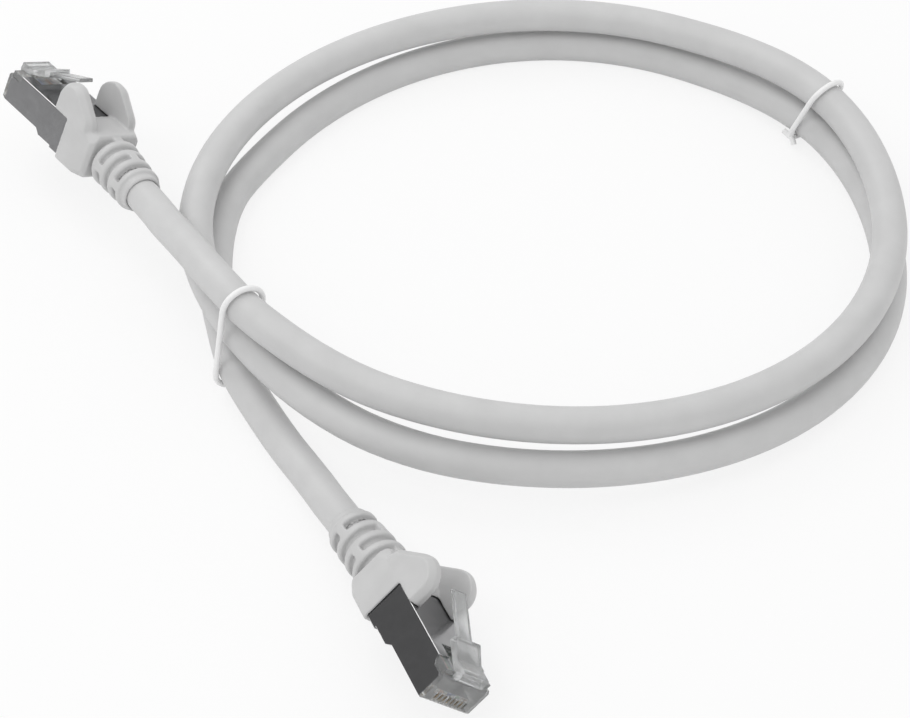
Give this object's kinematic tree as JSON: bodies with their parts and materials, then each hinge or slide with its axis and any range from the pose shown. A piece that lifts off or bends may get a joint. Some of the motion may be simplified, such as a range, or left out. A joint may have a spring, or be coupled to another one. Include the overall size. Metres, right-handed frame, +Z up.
{
  "type": "ethernet patch cable",
  "caption": "Coiled round network patch cable held by two thin ties, with a shielded modular plug, sprung latch and ribbed moulded boot at each end.",
  "frame": {"origin": "the middle of the cable's footprint, on the surface that it lies on", "axes": "+Z up, away from that surface; +Y from the end with plug_b towards the far side of the coil; +X to the right, away from the crossing of the two ends"},
  "size_m": [0.174, 0.1713, 0.0244],
  "materials": {
    "jacket": "matte light grey PVC",
    "boot": "satin light grey moulded PVC",
    "clear_plastic": "clear polycarbonate",
    "tinned_shield": "tin-plated sheet, satin",
    "gold_contact": "gold-plated blades",
    "guide_plastic": "natural polycarbonate",
    "conductor": "coloured wire insulation",
    "foil_core": "foil-wrapped pairs",
    "braid": "tinned braid",
    "tie": "glossy white plastic"
  },
  "bodies": {
    "cable": {"cable_coil": "jacket", "cable_lead_a": "jacket", "cable_lead_b": "jacket", "cable_core": "foil_core", "tie_front": "tie", "tie_back": "tie", "boot_a": "boot", "plug_body_a": "clear_plastic", "shield_a": "tinned_shield", "contacts_a": "gold_contact", "load_bar_a": "guide_plastic", "conductors_a": "conductor", "crimp_collar_a": "tinned_shield", "braid_end_a": "braid", "boot_b": "boot", "plug_body_b": "clear_plastic", "shield_b": "tinned_shield", "contacts_b": "gold_contact", "load_bar_b": "guide_plastic", "conductors_b": "conductor", "crimp_collar_b": "tinned_shield", "braid_end_b": "braid"},
    "latch_a": {"latch_a": "clear_plastic"},
    "latch_b": {"latch_b": "clear_plastic"}
  },
  "joints": [
    {"name": "latch_a_flex", "type": "hinge", "parent": "cable", "child": "latch_a", "pos_m": [-0.08068, 0.05803, 0.01613], "axis": [0.6513, 0.5889, -0.4785], "range_deg": [0, 13], "stiffness_Nm_per_rad": 0.02},
    {"name": "latch_b_flex", "type": "hinge", "parent": "cable", "child": "latch_b", "pos_m": [0.0039, -0.08189, 0.01139], "axis": [-0.613, -0.2296, 0.756], "range_deg": [0, 13], "stiffness_Nm_per_rad": 0.02}
  ]
}
